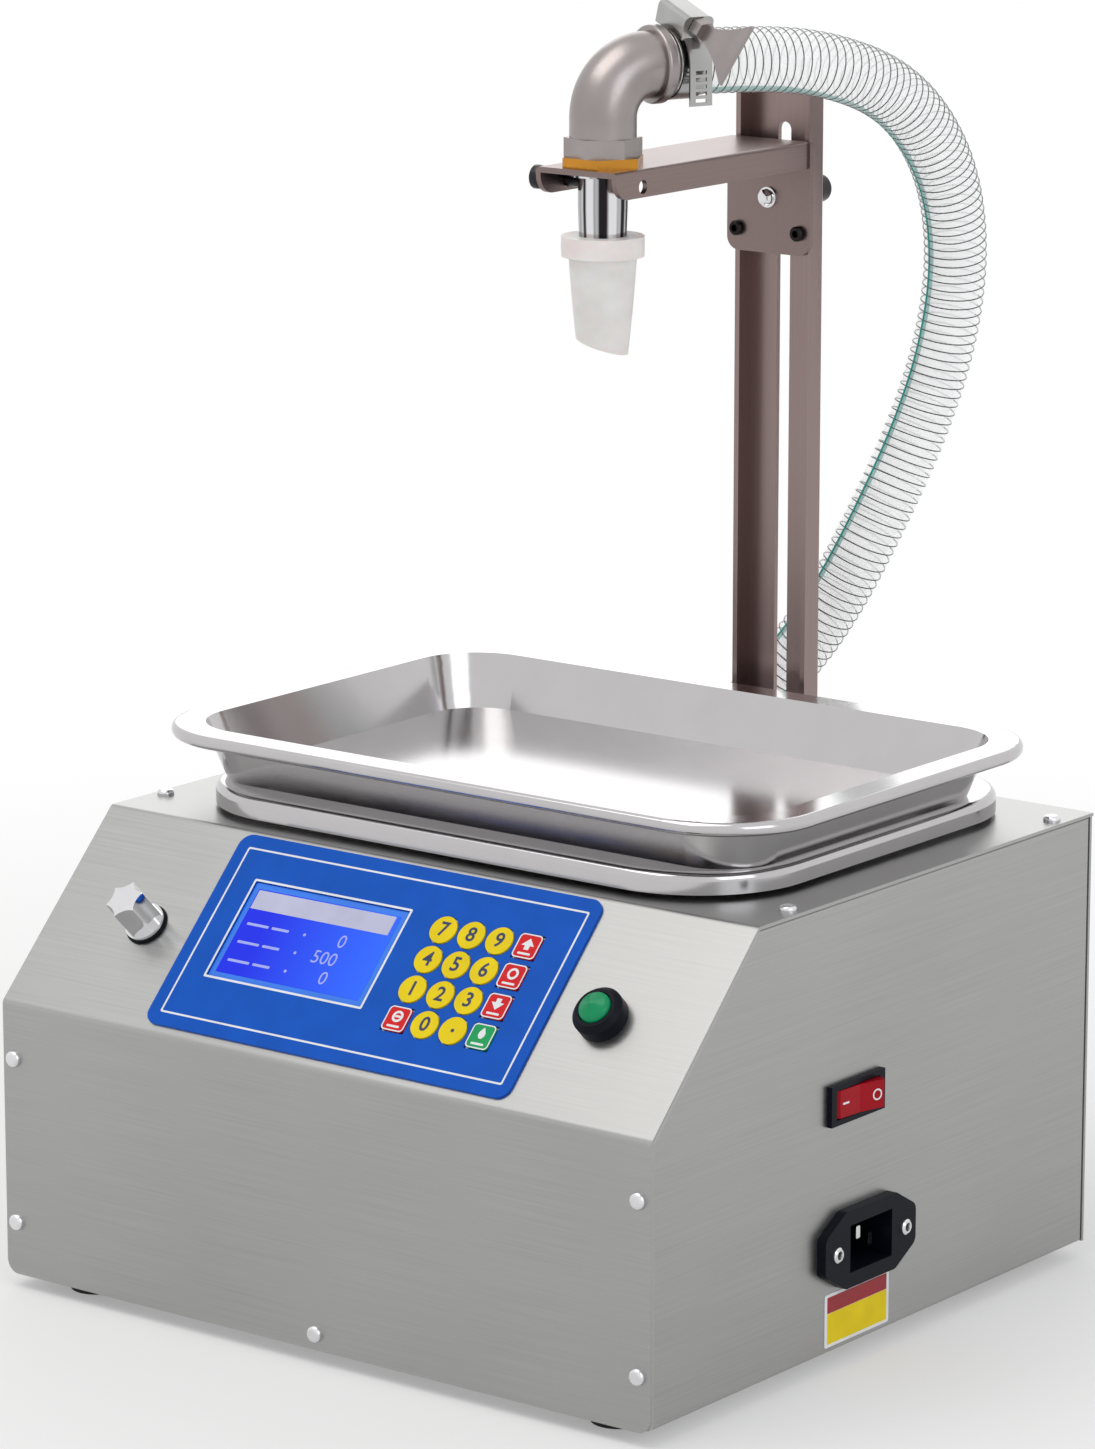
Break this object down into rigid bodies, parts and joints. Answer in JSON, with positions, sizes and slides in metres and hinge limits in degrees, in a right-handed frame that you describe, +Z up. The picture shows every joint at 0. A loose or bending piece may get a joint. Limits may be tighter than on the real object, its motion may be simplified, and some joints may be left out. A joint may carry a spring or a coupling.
{
  "type": "honey filling machine",
  "caption": "Benchtop filling machine: steel casing with a sloped keypad, weighing tray, slotted column, arm with a soft nozzle, and a clear hose from the rear pump outlet.",
  "frame": {"origin": "centre of the machine's box at the underside of its feet, on the surface it stands on", "axes": "+Z up, +X to the machine's right as its user sees the panel from the front, -Y towards the user, +Y to the rear fittings"},
  "size_m": [0.2847, 0.3348, 0.4437],
  "materials": {
    "stainless": "brushed sheet",
    "polished_tray": "drawn and polished sheet",
    "dark_stainless": "satin, fine brushed",
    "cast_steel": "satin casting",
    "chrome": "bright",
    "fastener": "bright zinc",
    "brass": "turned, slightly tarnished",
    "aluminium": "milled",
    "motor_paint": "semi-gloss black",
    "rubber": "matt moulded",
    "black_plastic": "smooth moulded",
    "overlay_blue": "printed film",
    "display": "liquid crystal display under a clear window",
    "key_yellow": "printed dome",
    "key_red": "printed dome",
    "key_green": "printed dome",
    "button_green": "translucent moulded",
    "rocker_red": "translucent moulded",
    "silicone": "milky, satin",
    "clear_pvc": "clear hose with a steel spiral and one teal stripe"
  },
  "bodies": {
    "casing": {"wrap_cover": "stainless", "left_side_panel": "stainless", "right_side_panel": "stainless", "rear_panel": "stainless", "base_pan": "stainless", "panel_screws": "fastener", "rubber_feet": "rubber", "keypad_overlay": "overlay_blue", "display_board": "display", "start_switch_body": "black_plastic", "speed_potentiometer": "black_plastic", "rocker_switch_body": "black_plastic", "mains_inlet": "black_plastic", "load_cell": "aluminium", "scale_beam": "stainless", "pump_body": "cast_steel", "pump_cover": "cast_steel", "pump_motor": "motor_paint", "motor_bracket": "stainless", "power_supply": "stainless", "outlet_fitting": "cast_steel", "inlet_fitting": "cast_steel", "column": "dark_stainless", "column_bolts": "fastener", "delivery_hose": "clear_pvc"},
    "scale_platform": {"scale_pan": "stainless"},
    "weighing_tray": {"tray": "polished_tray"},
    "drive_shaft": {"drive_gear": "fastener", "shaft_coupling": "fastener"},
    "idler_shaft": {"idler_gear": "fastener"},
    "start_cap": {"start_button": "button_green"},
    "speed_dial": {"speed_knob": "chrome"},
    "mains_rocker": {"rocker": "rocker_red"},
    "carriage": {"arm": "dark_stainless", "slide_block": "dark_stainless", "brass_lock_nut": "brass", "elbow": "cast_steel", "hose_barb": "cast_steel", "fill_nipple": "chrome", "duckbill_nozzle": "silicone", "hose_clamp": "chrome"},
    "column_clamp": {"column_knob": "black_plastic"},
    "nozzle_clamp": {"nozzle_knob": "black_plastic"},
    "clamp_key": {"hose_clamp_key": "chrome"},
    "key_0_cap": {"key_0": "key_yellow"},
    "key_1_cap": {"key_1": "key_yellow"},
    "key_2_cap": {"key_2": "key_yellow"},
    "key_3_cap": {"key_3": "key_yellow"},
    "key_4_cap": {"key_4": "key_yellow"},
    "key_5_cap": {"key_5": "key_yellow"},
    "key_6_cap": {"key_6": "key_yellow"},
    "key_7_cap": {"key_7": "key_yellow"},
    "key_8_cap": {"key_8": "key_yellow"},
    "key_9_cap": {"key_9": "key_yellow"},
    "key_point_cap": {"key_point": "key_yellow"},
    "key_clear_cap": {"key_clear": "key_red"},
    "key_start_cap": {"key_start": "key_green"},
    "key_down_cap": {"key_down": "key_red"},
    "key_set_cap": {"key_set": "key_red"},
    "key_up_cap": {"key_up": "key_red"}
  },
  "joints": [
    {"name": "carriage_slide", "type": "slide", "parent": "casing", "child": "carriage", "axis": [0, 0, 1], "range_m": [-0.11, 0.014], "deforming": ["delivery_hose"]},
    {"name": "column_knob_turn", "type": "hinge", "parent": "carriage", "child": "column_clamp", "pos_m": [-0.0026, 0.1315, 0.367], "axis": [0, 1, 0], "range_deg": [0, 360]},
    {"name": "nozzle_knob_turn", "type": "hinge", "parent": "carriage", "child": "nozzle_clamp", "pos_m": [-0.0266, 0.0098, 0.382], "axis": [-1, 0, 0], "range_deg": [0, 360]},
    {"name": "hose_clamp_key_turn", "type": "hinge", "parent": "carriage", "child": "clamp_key", "pos_m": [0.01248, 0.03624, 0.43729], "axis": [0.8937, -0.3253, -0.309], "continuous": true},
    {"name": "pan_travel", "type": "slide", "parent": "casing", "child": "scale_platform", "axis": [0, 0, -1], "range_m": [0, 0.0004], "stiffness_N_per_m": 60000, "springref_m": -0.0003},
    {"name": "tray_lift", "type": "slide", "parent": "scale_platform", "child": "weighing_tray", "axis": [0, 0, 1], "range_m": [0, 0.035]},
    {"name": "drive_shaft_turn", "type": "hinge", "parent": "casing", "child": "drive_shaft", "pos_m": [-0.0026, 0.0765, 0.06685], "axis": [0, 1, 0], "continuous": true},
    {"name": "idler_shaft_turn", "type": "hinge", "parent": "casing", "child": "idler_shaft", "pos_m": [-0.0026, 0.0765, 0.09715], "axis": [0, 1, 0], "continuous": true},
    {"name": "start_button_press", "type": "slide", "parent": "casing", "child": "start_cap", "axis": [0, 0.7133, -0.7009], "range_m": [0, 0.0025], "stiffness_N_per_m": 800, "springref_m": -0.001},
    {"name": "speed_knob_turn", "type": "hinge", "parent": "casing", "child": "speed_dial", "pos_m": [-0.0998, -0.12652, 0.13678], "axis": [0, -0.7133, 0.7009], "range_deg": [-150, 150]},
    {"name": "mains_rocker_tilt", "type": "hinge", "parent": "casing", "child": "mains_rocker", "pos_m": [0.1374, -0.0349, 0.092], "axis": [0, 0, 1], "range_deg": [0, 16]},
    {"name": "key_0_press", "type": "slide", "parent": "casing", "child": "key_0_cap", "axis": [0, 0.7133, -0.7009], "range_m": [0, 0.0004], "stiffness_N_per_m": 6000, "springref_m": -0.0001},
    {"name": "key_1_press", "type": "slide", "parent": "casing", "child": "key_1_cap", "axis": [0, 0.7133, -0.7009], "range_m": [0, 0.0004], "stiffness_N_per_m": 6000, "springref_m": -0.0001},
    {"name": "key_2_press", "type": "slide", "parent": "casing", "child": "key_2_cap", "axis": [0, 0.7133, -0.7009], "range_m": [0, 0.0004], "stiffness_N_per_m": 6000, "springref_m": -0.0001},
    {"name": "key_3_press", "type": "slide", "parent": "casing", "child": "key_3_cap", "axis": [0, 0.7133, -0.7009], "range_m": [0, 0.0004], "stiffness_N_per_m": 6000, "springref_m": -0.0001},
    {"name": "key_4_press", "type": "slide", "parent": "casing", "child": "key_4_cap", "axis": [0, 0.7133, -0.7009], "range_m": [0, 0.0004], "stiffness_N_per_m": 6000, "springref_m": -0.0001},
    {"name": "key_5_press", "type": "slide", "parent": "casing", "child": "key_5_cap", "axis": [0, 0.7133, -0.7009], "range_m": [0, 0.0004], "stiffness_N_per_m": 6000, "springref_m": -0.0001},
    {"name": "key_6_press", "type": "slide", "parent": "casing", "child": "key_6_cap", "axis": [0, 0.7133, -0.7009], "range_m": [0, 0.0004], "stiffness_N_per_m": 6000, "springref_m": -0.0001},
    {"name": "key_7_press", "type": "slide", "parent": "casing", "child": "key_7_cap", "axis": [0, 0.7133, -0.7009], "range_m": [0, 0.0004], "stiffness_N_per_m": 6000, "springref_m": -0.0001},
    {"name": "key_8_press", "type": "slide", "parent": "casing", "child": "key_8_cap", "axis": [0, 0.7133, -0.7009], "range_m": [0, 0.0004], "stiffness_N_per_m": 6000, "springref_m": -0.0001},
    {"name": "key_9_press", "type": "slide", "parent": "casing", "child": "key_9_cap", "axis": [0, 0.7133, -0.7009], "range_m": [0, 0.0004], "stiffness_N_per_m": 6000, "springref_m": -0.0001},
    {"name": "key_point_press", "type": "slide", "parent": "casing", "child": "key_point_cap", "axis": [0, 0.7133, -0.7009], "range_m": [0, 0.0004], "stiffness_N_per_m": 6000, "springref_m": -0.0001},
    {"name": "key_clear_press", "type": "slide", "parent": "casing", "child": "key_clear_cap", "axis": [0, 0.7133, -0.7009], "range_m": [0, 0.0004], "stiffness_N_per_m": 6000, "springref_m": -0.0001},
    {"name": "key_start_press", "type": "slide", "parent": "casing", "child": "key_start_cap", "axis": [0, 0.7133, -0.7009], "range_m": [0, 0.0004], "stiffness_N_per_m": 6000, "springref_m": -0.0001},
    {"name": "key_down_press", "type": "slide", "parent": "casing", "child": "key_down_cap", "axis": [0, 0.7133, -0.7009], "range_m": [0, 0.0004], "stiffness_N_per_m": 6000, "springref_m": -0.0001},
    {"name": "key_set_press", "type": "slide", "parent": "casing", "child": "key_set_cap", "axis": [0, 0.7133, -0.7009], "range_m": [0, 0.0004], "stiffness_N_per_m": 6000, "springref_m": -0.0001},
    {"name": "key_up_press", "type": "slide", "parent": "casing", "child": "key_up_cap", "axis": [0, 0.7133, -0.7009], "range_m": [0, 0.0004], "stiffness_N_per_m": 6000, "springref_m": -0.0001}
  ],
  "couplings": [
    {"joint": "idler_shaft_turn", "follows": "drive_shaft_turn", "ratio": -1}
  ]
}
